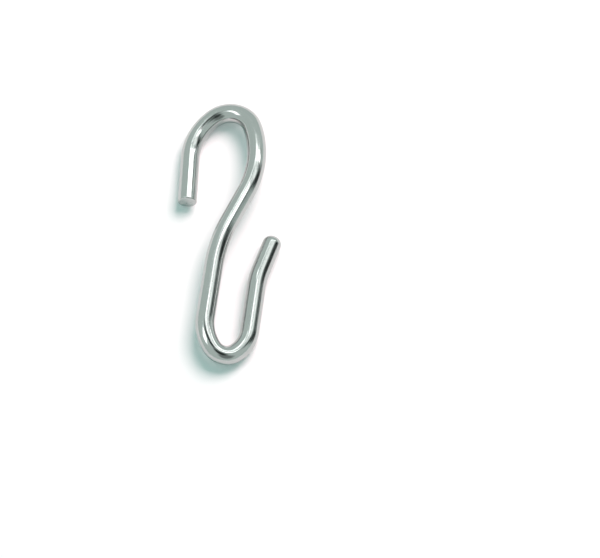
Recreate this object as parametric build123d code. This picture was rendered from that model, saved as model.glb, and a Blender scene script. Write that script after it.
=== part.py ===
from build123d import *
import os
from math import cos, radians, sin

# Curb chain hook: one length of round stainless wire, bent cold into an S.
# The upper loop hangs on a bit ring, and the lower hook takes a link of the curb chain.
# The wire is bent step by step from its cut end, then laid on the three places it rests on.
# Sizes are millimetres and degrees. A bend's radius is the one inside the bend, which is
# the radius of the former that the wire is bent round.

# Wire
wire_diameter = 3.5
cut_edge_break = 0.2
tip_rounding = 1.5

# Upper loop: from the cut end over the crown to the neck
cut_end_length = 9.4
loop_side_radius, loop_side_angle = 8.75, 50
loop_crown_radius, loop_crown_angle = 3.05, 109.5
loop_neck_radius, loop_neck_angle = 16.3, 45

# Shank and leg, each rolled a little, which turns the lower hook out of the loop's plane
shank_length = 6.5
shank_roll = -11.5
shank_bend_radius, shank_bend_angle = 26.85, 19
leg_length = 10.2
leg_roll = -12

# Lower hook: the seat in three bends, then the tip's leg and its flare
seat_entry_radius, seat_entry_angle = 7, 40
seat_radius, seat_angle = 1.25, 93
seat_exit_radius, seat_exit_angle = 4.8, 47.5
tip_leg_length = 8.8
tip_roll = 3.5
flare_radius, flare_angle = 14.65, 13
tip_length = 7.1

# How finely the wire is searched for the places it rests on
settling_rounds = 12
samples_per_stretch = 60

wire_radius = wire_diameter / 2


class WireBender:
    """Bends a wire from its cut end. Its frame has X along the wire and turns bends in its XY plane."""

    def __init__(self):
        self.frame = Location()
        self.stretches = []

    def straight(self, length):
        self.stretches.append(self.frame * Line((0, 0), (length, 0)))
        self.frame = self.frame * Pos(length, 0, 0)

    def roll(self, angle):
        self.frame = self.frame * Rot(angle, 0, 0)

    def bend(self, inside_radius, angle):
        """Bend to the left, or to the right if the angle is negative."""
        radius = inside_radius + wire_radius
        side = 1 if angle > 0 else -1
        turn = radians(abs(angle))
        self.stretches.append(self.frame * JernArc((0, 0), (1, 0), radius, angle))
        self.frame = self.frame * Pos(radius * sin(turn), side * radius * (1 - cos(turn)), 0) * Rot(0, 0, angle)

    def take(self):
        """The stretches made since the last take."""
        taken, self.stretches = self.stretches, []
        return taken


def bend_hook():
    """The centreline's stretches, as the upper loop, the shank and the lower hook's seat and tip."""
    bender = WireBender()
    bender.straight(cut_end_length)
    bender.bend(loop_side_radius, -loop_side_angle)
    bender.bend(loop_crown_radius, -loop_crown_angle)
    bender.bend(loop_neck_radius, -loop_neck_angle)
    loop = bender.take()

    bender.straight(shank_length)
    bender.roll(shank_roll)
    bender.bend(shank_bend_radius, shank_bend_angle)
    bender.straight(leg_length)
    shank = bender.take()

    bender.roll(leg_roll)
    bender.bend(seat_entry_radius, seat_entry_angle)
    bender.bend(seat_radius, seat_angle)
    bender.bend(seat_exit_radius, seat_exit_angle)
    seat = bender.take()

    bender.straight(tip_leg_length)
    bender.roll(tip_roll)
    bender.bend(flare_radius, -flare_angle)
    bender.straight(tip_length - tip_rounding)
    tip = bender.take()
    bender.straight(tip_rounding)
    return loop, shank, seat, tip, bender.take()


def points_along(stretches):
    return [stretch @ (i / samples_per_stretch) for stretch in stretches for i in range(samples_per_stretch + 1)]


def resting_plane(loop, seat, tip):
    """The plane the centreline rests on, with its Y from the seat to the loop's crown."""
    groups = [points_along(loop), points_along(seat), points_along(tip)]
    supports = [group[0] for group in groups]
    for _ in range(settling_rounds):
        on_loop, on_seat, on_tip = supports
        up = (on_seat - on_loop).cross(on_tip - on_loop).normalized()
        supports = [min(group, key=lambda point: point.dot(up)) for group in groups]
    length_axis = (loop[2] @ 0.5) - (seat[1] @ 0.5)
    return Plane(origin=supports[0], x_dir=length_axis.cross(up), z_dir=up)


def make_hook():
    loop, shank, seat, tip, tip_dome = bend_hook()
    plane = resting_plane(loop, seat, tip)
    centreline = plane.location.inverse() * Wire(loop + shank + seat + tip + tip_dome)
    section = Plane(origin=centreline @ 0, z_dir=centreline % 0) * Circle(wire_radius)
    wire = sweep(section, path=centreline)
    rims = wire.edges().filter_by(GeomType.CIRCLE)
    wire = chamfer(rims.sort_by_distance(centreline @ 0)[0], cut_edge_break)
    wire = fillet(wire.edges().filter_by(GeomType.CIRCLE).sort_by_distance(centreline @ 1)[0], tip_rounding)
    box = wire.bounding_box()
    print("centreline length", round(centreline.length, 2), "volume", round(wire.volume, 1))
    return Pos(-box.center().X, -box.center().Y, -box.min.Z) * wire


os.makedirs("parts", exist_ok=True)
export_step(make_hook(), "parts/hook_wire.step")
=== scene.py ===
import bpy
import math
from mathutils import Matrix, Vector


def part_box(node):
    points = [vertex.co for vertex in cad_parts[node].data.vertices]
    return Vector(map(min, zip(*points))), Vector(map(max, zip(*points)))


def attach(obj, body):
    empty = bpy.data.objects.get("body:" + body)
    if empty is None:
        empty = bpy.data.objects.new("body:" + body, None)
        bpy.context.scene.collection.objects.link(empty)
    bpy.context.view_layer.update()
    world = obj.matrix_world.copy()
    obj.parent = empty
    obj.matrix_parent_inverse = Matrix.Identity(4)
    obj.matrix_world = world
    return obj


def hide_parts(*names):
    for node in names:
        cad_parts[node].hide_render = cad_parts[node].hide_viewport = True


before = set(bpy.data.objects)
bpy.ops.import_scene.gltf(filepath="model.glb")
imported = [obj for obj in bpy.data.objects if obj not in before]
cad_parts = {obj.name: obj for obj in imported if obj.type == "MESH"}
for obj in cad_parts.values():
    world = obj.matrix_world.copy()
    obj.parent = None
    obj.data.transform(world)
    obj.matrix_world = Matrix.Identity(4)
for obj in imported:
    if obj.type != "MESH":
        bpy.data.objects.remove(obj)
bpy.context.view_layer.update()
print("stage: frame loaded")

mm = 0.001
nodeStep = (200, -180)  # between neighbouring nodes in a tree


def addNode(tree, kind, place, **settings):
    node = tree.nodes.new(kind)
    node.location = (place[0] * nodeStep[0], place[1] * nodeStep[1])
    for name, value in settings.items():
        setattr(node, name, value)
    return node


def plug(tree, source, target):
    if hasattr(source, "is_output"):
        tree.links.new(source, target)
    else:
        target.default_value = source


def mathNode(tree, operation, place, *values):
    node = addNode(tree, "ShaderNodeMath", place, operation=operation)
    for socket, value in zip(node.inputs, values):
        plug(tree, value, socket)
    return node.outputs[0]


def mixColour(tree, place, factor, colour, otherColour):
    node = addNode(tree, "ShaderNodeMix", place, data_type="RGBA")
    plug(tree, factor, node.inputs[0])
    node.inputs[6].default_value = (*colour, 1)
    node.inputs[7].default_value = (*otherColour, 1)
    return node.outputs[2]


polishedFinish = {
    "colour": (0.53, 0.55, 0.54),
    "paleColour": (0.60, 0.61, 0.60),
    "bumpDistance": 0.003 * mm,
    "grain": {
        "Lines Across": 14000,  # draw lines per metre round the wire
        "Lines Along": 90,
        "Line Depth": 0.35,
        "Cloud Scale": 260,
        "Low Roughness": 0.11,
        "High Roughness": 0.18,
    },
}

cutFaceFinish = {
    "colour": (0.52, 0.54, 0.53),
    "paleColour": (0.68, 0.69, 0.68),
    "bumpDistance": 0.02 * mm,
    "grain": {
        "Lines Across": 9000,
        "Lines Along": 700,
        "Line Depth": 0.8,
        "Cloud Scale": 900,
        "Low Roughness": 0.24,
        "High Roughness": 0.40,
    },
}

lineDetail, cloudDetail = 3.0, 2.0
cloudRange = (0.35, 0.65)  # most of the cloud noise lies between these


def makeMetalGrain():
    # draw lines along the wire, a cloudy sheen and a slight change of tone
    tree = bpy.data.node_groups.new("metalGrain", "ShaderNodeTree")
    face = tree.interface
    face.new_socket("Coordinates", in_out="INPUT", socket_type="NodeSocketVector")
    for name in polishedFinish["grain"]:
        face.new_socket(name, in_out="INPUT", socket_type="NodeSocketFloat")
    for name in ("Roughness", "Height", "Tone"):
        face.new_socket(name, in_out="OUTPUT", socket_type="NodeSocketFloat")
    given = addNode(tree, "NodeGroupInput", (0, 0)).outputs
    result = addNode(tree, "NodeGroupOutput", (8, 0)).inputs

    scale = addNode(tree, "ShaderNodeCombineXYZ", (1, 1))
    for axis, name in zip("XYZ", ("Lines Across", "Lines Across", "Lines Along")):
        plug(tree, given[name], scale.inputs[axis])
    stretched = addNode(tree, "ShaderNodeVectorMath", (2, 1), operation="MULTIPLY")
    plug(tree, given["Coordinates"], stretched.inputs[0])
    plug(tree, scale.outputs[0], stretched.inputs[1])
    lines = addNode(tree, "ShaderNodeTexNoise", (3, 1))
    plug(tree, stretched.outputs[0], lines.inputs["Vector"])
    plug(tree, 1.0, lines.inputs["Scale"])
    plug(tree, lineDetail, lines.inputs["Detail"])

    cloud = addNode(tree, "ShaderNodeTexNoise", (3, 2))
    plug(tree, given["Coordinates"], cloud.inputs["Vector"])
    plug(tree, given["Cloud Scale"], cloud.inputs["Scale"])
    plug(tree, cloudDetail, cloud.inputs["Detail"])

    lineHeight = mathNode(tree, "MULTIPLY", (5, 1), lines.outputs["Fac"], given["Line Depth"])
    height = mathNode(tree, "ADD", (6, 1), lineHeight, cloud.outputs["Fac"])
    plug(tree, height, result["Height"])

    sheen = addNode(tree, "ShaderNodeMapRange", (5, 2))
    plug(tree, cloud.outputs["Fac"], sheen.inputs["Value"])
    plug(tree, cloudRange[0], sheen.inputs["From Min"])
    plug(tree, cloudRange[1], sheen.inputs["From Max"])
    plug(tree, given["Low Roughness"], sheen.inputs["To Min"])
    plug(tree, given["High Roughness"], sheen.inputs["To Max"])
    plug(tree, sheen.outputs["Result"], result["Roughness"])
    plug(tree, lines.outputs["Fac"], result["Tone"])
    return tree


def makeMetal(name, finish, grain):
    material = bpy.data.materials.new(name)
    material.use_nodes = True
    tree = material.node_tree
    shader = tree.nodes["Principled BSDF"]
    shader.inputs["Metallic"].default_value = 1.0
    wireCoords = addNode(tree, "ShaderNodeAttribute", (-6, 0), attribute_name="wireCoords")
    group = addNode(tree, "ShaderNodeGroup", (-5, 0), node_tree=grain)
    plug(tree, wireCoords.outputs["Vector"], group.inputs["Coordinates"])
    for socket, value in finish["grain"].items():
        group.inputs[socket].default_value = value
    tone = mixColour(tree, (-3, -1), group.outputs["Tone"], finish["colour"], finish["paleColour"])
    bump = addNode(tree, "ShaderNodeBump", (-3, 1))
    plug(tree, finish["bumpDistance"], bump.inputs["Distance"])
    plug(tree, group.outputs["Height"], bump.inputs["Height"])
    plug(tree, tone, shader.inputs["Base Color"])
    plug(tree, group.outputs["Roughness"], shader.inputs["Roughness"])
    plug(tree, bump.outputs["Normal"], shader.inputs["Normal"])
    return material


# One wire, bent step by step from its cut end. Radii are those inside each bend.
hookWire = {
    "diameter": 3.5 * mm,
    "cutEdgeBreak": 0.2 * mm,
    "tipRounding": 1.5 * mm,
    # straight before the bend, roll before it, radius, angle (a positive angle turns left)
    "bends": [
        (9.4 * mm, 0, 8.75 * mm, -50),      # loop's side
        (0, 0, 3.05 * mm, -109.5),          # loop's crown
        (0, 0, 16.3 * mm, -45),             # loop's neck
        (6.5 * mm, -11.5, 26.85 * mm, 19),  # shank
        (10.2 * mm, -12, 7 * mm, 40),       # seat's entry
        (0, 0, 1.25 * mm, 93),              # seat
        (0, 0, 4.8 * mm, 47.5),             # seat's exit
        (8.8 * mm, 3.5, 14.65 * mm, -13),   # tip's flare
    ],
    "loopBends": (0, 1, 2),
    "crownBend": 1,
    "seatBends": (4, 5, 6),
    "tightSeatBend": 5,
    "tipLength": 7.1 * mm,
    "ringSpacing": 0.3 * mm,
    "endRings": 16,
    "sides": 128,
    "settlingRounds": 12,
}


def stepForward(place, points, length, spacing):
    # a straight stretch along the place's X
    steps = max(1, math.ceil(length / spacing))
    for i in range(1, steps + 1):
        points.append(place @ Vector((length * i / steps, 0, 0)))
    return place @ Matrix.Translation((length, 0, 0))


def bendRound(place, points, radius, angle, spacing):
    # a bend in the place's XY plane, with its centre on +Y for a left turn
    side = math.copysign(radius, angle)
    steps = max(2, math.ceil(radius * abs(angle) / spacing))
    for i in range(1, steps + 1):
        turn = angle * i / steps
        points.append(place @ Vector((side * math.sin(turn), side * (1 - math.cos(turn)), 0)))
    end = Vector((side * math.sin(angle), side * (1 - math.cos(angle)), 0))
    return place @ Matrix.Translation(end) @ Matrix.Rotation(angle, 4, "Z")


def bentCentreline(wire):
    # points from the cut end to the tip, and the stretch of each bend, before the wire is laid down
    wireRadius = wire["diameter"] / 2
    spacing = wire["ringSpacing"]
    place = Matrix.Identity(4)
    points = [Vector((0, 0, 0))]
    stretches = []
    for straight, roll, insideRadius, angle in wire["bends"]:
        if straight:
            place = stepForward(place, points, straight, spacing)
        place = place @ Matrix.Rotation(math.radians(roll), 4, "X")
        first = len(points) - 1
        place = bendRound(place, points, insideRadius + wireRadius, math.radians(angle), spacing)
        stretches.append((first, len(points)))
    place = stepForward(place, points, wire["tipLength"] - wire["tipRounding"], spacing)
    domeStart = len(points)
    stepForward(place, points, wire["tipRounding"], spacing)
    return points, stretches, domeStart


def laidDown(points, stretches, domeStart, wire):
    # turn the wire until its loop, its seat and its tip each touch the surface, with +Y towards the crown
    loopEnd = stretches[wire["loopBends"][-1]][1]
    seatStart = stretches[wire["seatBends"][0]][0]
    seatEnd = stretches[wire["seatBends"][-1]][1]
    groups = [points[:loopEnd], points[seatStart:seatEnd], points[seatEnd:domeStart]]
    touching = [group[0] for group in groups]
    for _ in range(wire["settlingRounds"]):
        onLoop, onSeat, onTip = touching
        up = (onSeat - onLoop).cross(onTip - onLoop).normalized()
        touching = [min(group, key=up.dot) for group in groups]

    def middle(bend):
        first, end = stretches[bend]
        return points[(first + end - 1) // 2]

    lengthways = middle(wire["crownBend"]) - middle(wire["tightSeatBend"])
    across = lengthways.cross(up).normalized()
    turn = Matrix((across, up.cross(across), up))
    return [turn @ (point - touching[0]) for point in points]


sideCorners = 4  # the wire's sides are quads, and only an end cap has more corners


def makeWireTree():
    # sweeps a round section along a centreline, with a broken edge on its cut end and a domed tip
    tree = bpy.data.node_groups.new("wireFromCentreline", "GeometryNodeTree")
    tree.is_modifier = True
    face = tree.interface
    face.new_socket("Geometry", in_out="INPUT", socket_type="NodeSocketGeometry")
    for name in ("Wire Diameter", "Cut Edge Break", "Tip Rounding"):
        face.new_socket(name, in_out="INPUT", socket_type="NodeSocketFloat")
    face.new_socket("Sides", in_out="INPUT", socket_type="NodeSocketInt")
    face.new_socket("Wire Finish", in_out="INPUT", socket_type="NodeSocketMaterial")
    face.new_socket("Cut Face Finish", in_out="INPUT", socket_type="NodeSocketMaterial")
    face.new_socket("Geometry", in_out="OUTPUT", socket_type="NodeSocketGeometry")
    given = addNode(tree, "NodeGroupInput", (0, 0)).outputs
    result = addNode(tree, "NodeGroupOutput", (15, 0)).inputs

    along = addNode(tree, "GeometryNodeSplineParameter", (0, 3)).outputs["Length"]
    whole = addNode(tree, "GeometryNodeSplineLength", (0, 4)).outputs["Length"]
    fromTip = mathNode(tree, "SUBTRACT", (1, 4), whole, along)
    wireRadius = mathNode(tree, "MULTIPLY", (1, 2), given["Wire Diameter"], 0.5)

    def roundedOff(distance, rounding, row):
        # how far a quarter round has drawn in at this distance from its end
        short = mathNode(tree, "SUBTRACT", (2, row), rounding, distance)
        share = mathNode(tree, "DIVIDE", (3, row), short, rounding)
        share = mathNode(tree, "MINIMUM", (4, row), mathNode(tree, "MAXIMUM", (4, row + 1), share, 0.0), 1.0)
        square = mathNode(tree, "MULTIPLY", (5, row), share, share)
        rise = mathNode(tree, "SQRT", (6, row), mathNode(tree, "SUBTRACT", (6, row + 1), 1.0, square))
        drawnIn = mathNode(tree, "SUBTRACT", (7, row + 1), 1.0, rise)
        return mathNode(tree, "MULTIPLY", (7, row), rounding, drawnIn)

    radius = mathNode(tree, "SUBTRACT", (8, 3), wireRadius, roundedOff(along, given["Cut Edge Break"], 5))
    radius = mathNode(tree, "SUBTRACT", (8, 4), radius, roundedOff(fromTip, given["Tip Rounding"], 7))

    keep = addNode(tree, "GeometryNodeCaptureAttribute", (9, 0), domain="POINT")
    keep.capture_items.new("FLOAT", "along")
    keep.capture_items.new("FLOAT", "radius")
    plug(tree, given["Geometry"], keep.inputs["Geometry"])
    plug(tree, along, keep.inputs["along"])
    plug(tree, radius, keep.inputs["radius"])

    section = addNode(tree, "GeometryNodeCurvePrimitiveCircle", (8, -2))
    plug(tree, given["Sides"], section.inputs["Resolution"])
    plug(tree, 1.0, section.inputs["Radius"])
    roundShare = addNode(tree, "GeometryNodeSplineParameter", (8, -1)).outputs["Factor"]
    keepRound = addNode(tree, "GeometryNodeCaptureAttribute", (9, -2), domain="POINT")
    keepRound.capture_items.new("FLOAT", "round")
    plug(tree, section.outputs["Curve"], keepRound.inputs["Geometry"])
    plug(tree, roundShare, keepRound.inputs["round"])

    swept = addNode(tree, "GeometryNodeCurveToMesh", (11, 0))
    plug(tree, keep.outputs["Geometry"], swept.inputs["Curve"])
    plug(tree, keep.outputs["radius"], swept.inputs["Scale"])
    plug(tree, keepRound.outputs["Geometry"], swept.inputs["Profile Curve"])
    plug(tree, True, swept.inputs["Fill Caps"])

    angle = mathNode(tree, "MULTIPLY", (10, -3), keepRound.outputs["round"], math.tau)
    coords = addNode(tree, "ShaderNodeCombineXYZ", (12, -3))
    for axis, operation, row in (("X", "COSINE", -3), ("Y", "SINE", -4)):
        unit = mathNode(tree, operation, (11, row), angle)
        reach = mathNode(tree, "MULTIPLY", (11, row - 2), unit, keep.outputs["radius"])
        plug(tree, reach, coords.inputs[axis])
    plug(tree, keep.outputs["along"], coords.inputs["Z"])
    stored = addNode(tree, "GeometryNodeStoreNamedAttribute", (12, 0), domain="POINT")
    stored.data_type = "FLOAT_VECTOR"
    plug(tree, swept.outputs["Mesh"], stored.inputs["Geometry"])
    plug(tree, "wireCoords", stored.inputs["Name"])
    plug(tree, coords.outputs[0], stored.inputs["Value"])

    corners = addNode(tree, "GeometryNodeCornersOfFace", (11, 2)).outputs["Total"]
    isCap = addNode(tree, "FunctionNodeCompare", (12, 2), data_type="INT", operation="GREATER_THAN")
    plug(tree, corners, isCap.inputs[2])
    plug(tree, sideCorners, isCap.inputs[3])
    atCutEnd = mathNode(tree, "LESS_THAN", (12, 3), keep.outputs["along"], given["Cut Edge Break"])
    isCutFace = addNode(tree, "FunctionNodeBooleanMath", (13, 2), operation="AND")
    plug(tree, isCap.outputs["Result"], isCutFace.inputs[0])
    plug(tree, atCutEnd, isCutFace.inputs[1])

    realized = addNode(tree, "GeometryNodeRealizeInstances", (13, 0))
    plug(tree, stored.outputs["Geometry"], realized.inputs["Geometry"])
    finished = addNode(tree, "GeometryNodeSetMaterial", (14, 0))
    plug(tree, realized.outputs["Geometry"], finished.inputs["Geometry"])
    plug(tree, given["Wire Finish"], finished.inputs["Material"])
    faced = addNode(tree, "GeometryNodeSetMaterial", (14, 1))
    plug(tree, finished.outputs["Geometry"], faced.inputs["Geometry"])
    plug(tree, isCutFace.outputs[0], faced.inputs["Selection"])
    plug(tree, given["Cut Face Finish"], faced.inputs["Material"])
    plug(tree, faced.outputs["Geometry"], result["Geometry"])
    return tree


def endSpaced(points, wire):
    # more rings where the two ends are rounded, closest together at the very end
    def rings(start, inward, depth):
        quarter = [math.pi / 2 * i / wire["endRings"] for i in range(wire["endRings"] + 1)]
        return [start + inward * depth * (1 - math.cos(a)) for a in quarter]

    cutEnd = rings(points[0], (points[1] - points[0]).normalized(), wire["cutEdgeBreak"])
    tip = rings(points[-1], (points[-2] - points[-1]).normalized(), wire["tipRounding"])
    middle = [
        p for p in points
        if (p - points[0]).length > wire["cutEdgeBreak"] and (p - points[-1]).length > wire["tipRounding"]
    ]
    return cutEnd + middle + tip[::-1]


def makeHookWire(wire, wireFinish, cutFinish):
    points, stretches, domeStart = bentCentreline(wire)
    points = endSpaced(laidDown(points, stretches, domeStart, wire), wire)
    curve = bpy.data.curves.new("hookCentreline", "CURVE")
    curve.dimensions = "3D"
    spline = curve.splines.new("POLY")
    spline.points.add(len(points) - 1)
    for knot, point in zip(spline.points, points):
        knot.co = (*point, 1)
    path = bpy.data.objects.new("hookCentreline", curve)
    bpy.context.scene.collection.objects.link(path)

    tree = makeWireTree()
    sweep = path.modifiers.new("sweep", "NODES")
    sweep.node_group = tree
    sizes = {
        "Wire Diameter": wire["diameter"],
        "Cut Edge Break": wire["cutEdgeBreak"],
        "Tip Rounding": wire["tipRounding"],
        "Sides": wire["sides"],
        "Wire Finish": wireFinish,
        "Cut Face Finish": cutFinish,
    }
    for item in tree.interface.items_tree:
        if item.in_out == "INPUT" and item.name in sizes:
            sweep[item.identifier] = sizes[item.name]
    path.update_tag()
    depsgraph = bpy.context.evaluated_depsgraph_get()
    mesh = bpy.data.meshes.new_from_object(path.evaluated_get(depsgraph), depsgraph=depsgraph)
    bpy.data.objects.remove(path)
    piece = bpy.data.objects.new("bentWireHook", mesh)
    bpy.context.scene.collection.objects.link(piece)

    # the CAD hook says where the wire lies
    low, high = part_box("hook_wire")
    corners = [v.co for v in mesh.vertices]
    ownLow = Vector([min(c[k] for c in corners) for k in range(3)])
    ownHigh = Vector([max(c[k] for c in corners) for k in range(3)])
    shift = (low + high) / 2 - (ownLow + ownHigh) / 2
    shift.z = low.z - ownLow.z
    mesh.transform(Matrix.Translation(shift))
    print("wire size against CAD, mm:", [round(v / mm, 3) for v in (ownHigh - ownLow) - (high - low)])

    for face in mesh.polygons:
        face.use_smooth = len(face.vertices) == sideCorners
    print("stage: wire made,", len(mesh.polygons), "faces")
    return piece


grain = makeMetalGrain()
polishedWire = makeMetal("polishedWire", polishedFinish, grain)
shearedEnd = makeMetal("shearedEnd", cutFaceFinish, grain)
hook = makeHookWire(hookWire, polishedWire, shearedEnd)
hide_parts("hook_wire")
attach(hook, "root")


paperFloor = {
    "half": 6.0,
    "colour": (0.80, 0.80, 0.80),
    "glow": (0.21, 0.21, 0.21),
    "glowInMetal": 0.35,
    "lampsReach": 0.12,     # beyond this radius the glow makes up for the lamps
    "glowOnly": 1.2,
    "glowFar": 4.0,
}


def makeFloor(floor):
    mesh = bpy.data.meshes.new("paperFloor")
    h = floor["half"]
    mesh.from_pydata([(-h, -h, 0), (h, -h, 0), (h, h, 0), (-h, h, 0)], [], [(0, 1, 2, 3)])
    plane = bpy.data.objects.new("paperFloor", mesh)
    bpy.context.scene.collection.objects.link(plane)
    material = bpy.data.materials.new("whitePaper")
    material.use_nodes = True
    tree = material.node_tree
    tree.nodes.clear()
    matte = addNode(tree, "ShaderNodeBsdfDiffuse", (0, 0))
    matte.inputs["Color"].default_value = (*floor["colour"], 1)
    glow = addNode(tree, "ShaderNodeEmission", (0, 1))
    glow.inputs["Color"].default_value = (*floor["glow"], 1)
    rays = addNode(tree, "ShaderNodeLightPath", (-2, 1)).outputs
    inMetal = mathNode(tree, "MULTIPLY", (-1, 2), rays["Is Glossy Ray"], floor["glowInMetal"])
    seen = mathNode(tree, "MAXIMUM", (-1, 1), rays["Is Camera Ray"], inMetal)
    place = addNode(tree, "ShaderNodeTexCoord", (-4, 3)).outputs["Object"]
    away = addNode(tree, "ShaderNodeVectorMath", (-3, 3), operation="LENGTH")
    plug(tree, place, away.inputs[0])
    further = addNode(tree, "ShaderNodeMapRange", (-2, 3))
    plug(tree, away.outputs["Value"], further.inputs["Value"])
    ends = (floor["lampsReach"], floor["glowOnly"], 1.0, floor["glowFar"])
    for name, value in zip(("From Min", "From Max", "To Min", "To Max"), ends):
        plug(tree, value, further.inputs[name])
    plug(tree, mathNode(tree, "MULTIPLY", (0, 2), seen, further.outputs["Result"]), glow.inputs["Strength"])
    both = addNode(tree, "ShaderNodeAddShader", (1, 0))
    plug(tree, matte.outputs[0], both.inputs[0])
    plug(tree, glow.outputs[0], both.inputs[1])
    out = addNode(tree, "ShaderNodeOutputMaterial", (2, 0))
    plug(tree, both.outputs[0], out.inputs["Surface"])
    mesh.materials.append(material)


# Each soft box hangs at one distance: azimuth from +Y towards +X, angle down from overhead, and its turn.
# A box that glows is seen in the metal, and the shadow lamp only lights what is matt.
softBoxes = {
    "shadowLamp": {"azimuth": 34, "fromZenith": 37, "size": (0.70, 0.70), "turn": 0, "power": 13.0},
    "cutEndBox": {"azimuth": 18, "fromZenith": 34.5, "size": (0.56, 0.08), "turn": 0, "power": 0.42},
    "shankBox": {"azimuth": 46, "fromZenith": 22, "size": (0.48, 0.09), "turn": -25, "power": 0.46},
    "neckBox": {"azimuth": -18, "fromZenith": 29, "size": (0.14, 0.06), "turn": -25, "power": 0.07},
    "loopBox": {"azimuth": 50, "fromZenith": 50, "size": (0.40, 0.08), "turn": 6, "power": 0.36},
    "seatBox": {"azimuth": -94, "fromZenith": 34, "size": (0.50, 0.20), "turn": 35, "power": 0.90},
    "tipBox": {"azimuth": 51, "fromZenith": 34, "size": (0.62, 0.12), "turn": -5, "power": 0.21},
}
shadowLamps = {"shadowLamp"}
shadowTint = (1.0, 0.74, 0.78)
boxDistance = 1.0


def towards(azimuth, fromZenith):
    a, z = math.radians(azimuth), math.radians(fromZenith)
    return Vector((math.sin(a) * math.sin(z), math.cos(a) * math.sin(z), math.cos(z)))


def makeSoftBox(name, box):
    lamp = bpy.data.lights.new(name, "AREA")
    lamp.shape = "RECTANGLE"
    lamp.size, lamp.size_y = box["size"]
    lamp.energy = box["power"]
    holder = bpy.data.objects.new(name, lamp)
    bpy.context.scene.collection.objects.link(holder)
    direction = towards(box["azimuth"], box["fromZenith"])
    across = (Vector((1, 0, 0)) - direction * direction.x).normalized()
    facing = Matrix((across, direction.cross(across), direction)).transposed().to_4x4()
    turn = Matrix.Rotation(math.radians(box["turn"]), 4, "Z")
    holder.matrix_world = Matrix.Translation(direction * boxDistance) @ facing @ turn
    holder.visible_camera = False
    if name in shadowLamps:
        holder.visible_glossy = False
        lamp.color = shadowTint


roomLight = {
    "metalGrey": (0.60, 0.69, 0.66),
    "fill": (0.02, 0.26, 0.22),
    "darkestShare": 0.5,  # a patch is darkest out to this share of its half width
    # azimuth and angle from overhead of each patch, its half width and how much light it leaves
    "darkPatches": [
        (78, 65, 14, 0.02),
        (80, 86, 14, 0.05),
        (75, 46, 10, 0.02),
        (57, 56, 9, 0.05),
        (42, 22, 10, 0.08),
        (-14, 8, 13, 0.06),
        (150, 18, 19, 0.06),
        (155, 48, 28, 0.35),
    ],
}


def makeRoom(room):
    # white behind everything, a grey studio with a few unlit patches in the metal, and an even fill elsewhere
    world = bpy.data.worlds.new("studioRoom")
    bpy.context.scene.world = world
    world.use_nodes = True
    tree = world.node_tree
    tree.nodes.clear()
    rays = addNode(tree, "ShaderNodeLightPath", (0, 0)).outputs
    direction = addNode(tree, "ShaderNodeTexCoord", (-6, 2)).outputs["Generated"]
    light = 1.0
    for row, (azimuth, fromZenith, halfWidth, left) in enumerate(room["darkPatches"], 2):
        dot = addNode(tree, "ShaderNodeVectorMath", (-5, row), operation="DOT_PRODUCT")
        plug(tree, direction, dot.inputs[0])
        plug(tree, towards(azimuth, fromZenith), dot.inputs[1])
        shade = addNode(tree, "ShaderNodeMapRange", (-4, row), interpolation_type="SMOOTHSTEP")
        plug(tree, dot.outputs["Value"], shade.inputs["Value"])
        rim = math.cos(math.radians(halfWidth))
        inside = math.cos(math.radians(halfWidth * room["darkestShare"]))
        for name, value in (("From Min", rim), ("From Max", inside), ("To Min", 1.0), ("To Max", left)):
            plug(tree, value, shade.inputs[name])
        light = mathNode(tree, "MULTIPLY", (-3, row), light, shade.outputs["Result"])
    inMetal = addNode(tree, "ShaderNodeBackground", (1, 0))
    inMetal.inputs["Color"].default_value = (*room["metalGrey"], 1)
    plug(tree, light, inMetal.inputs["Strength"])
    fill = addNode(tree, "ShaderNodeBackground", (1, 1))
    fill.inputs["Color"].default_value = (*room["fill"], 1)
    white = addNode(tree, "ShaderNodeBackground", (1, 2))
    white.inputs["Color"].default_value = (1, 1, 1, 1)
    lit = addNode(tree, "ShaderNodeMixShader", (2, 0))
    plug(tree, rays["Is Glossy Ray"], lit.inputs[0])
    plug(tree, fill.outputs[0], lit.inputs[1])
    plug(tree, inMetal.outputs[0], lit.inputs[2])
    shown = addNode(tree, "ShaderNodeMixShader", (3, 0))
    plug(tree, rays["Is Camera Ray"], shown.inputs[0])
    plug(tree, lit.outputs[0], shown.inputs[1])
    plug(tree, white.outputs[0], shown.inputs[2])
    out = addNode(tree, "ShaderNodeOutputWorld", (4, 0))
    plug(tree, shown.outputs[0], out.inputs["Surface"])


cameraRig = {
    "azimuth": 2.68,
    "elevation": 65,
    "distance": 1.2196,
    "lens": 400,
    "clip": (0.01, 20),
    "aim": Vector((13.53 * mm, -8.87 * mm, 3 * mm)),
}


def makeCamera(rig):
    lens = bpy.data.cameras.new("studioCamera")
    lens.lens = rig["lens"]
    lens.clip_start, lens.clip_end = rig["clip"]
    camera = bpy.data.objects.new("studioCamera", lens)
    bpy.context.scene.collection.objects.link(camera)
    a, e = math.radians(rig["azimuth"]), math.radians(rig["elevation"])
    back = Vector((math.sin(a) * math.cos(e), -math.cos(a) * math.cos(e), math.sin(e)))
    camera.location = rig["aim"] + back * rig["distance"]
    camera.rotation_euler = (-back).to_track_quat("-Z", "Y").to_euler()
    bpy.context.scene.camera = camera


makeFloor(paperFloor)
for name, box in softBoxes.items():
    makeSoftBox(name, box)
makeRoom(roomLight)
makeCamera(cameraRig)
bpy.context.scene.view_settings.view_transform = "Standard"
print("stage: studio made")
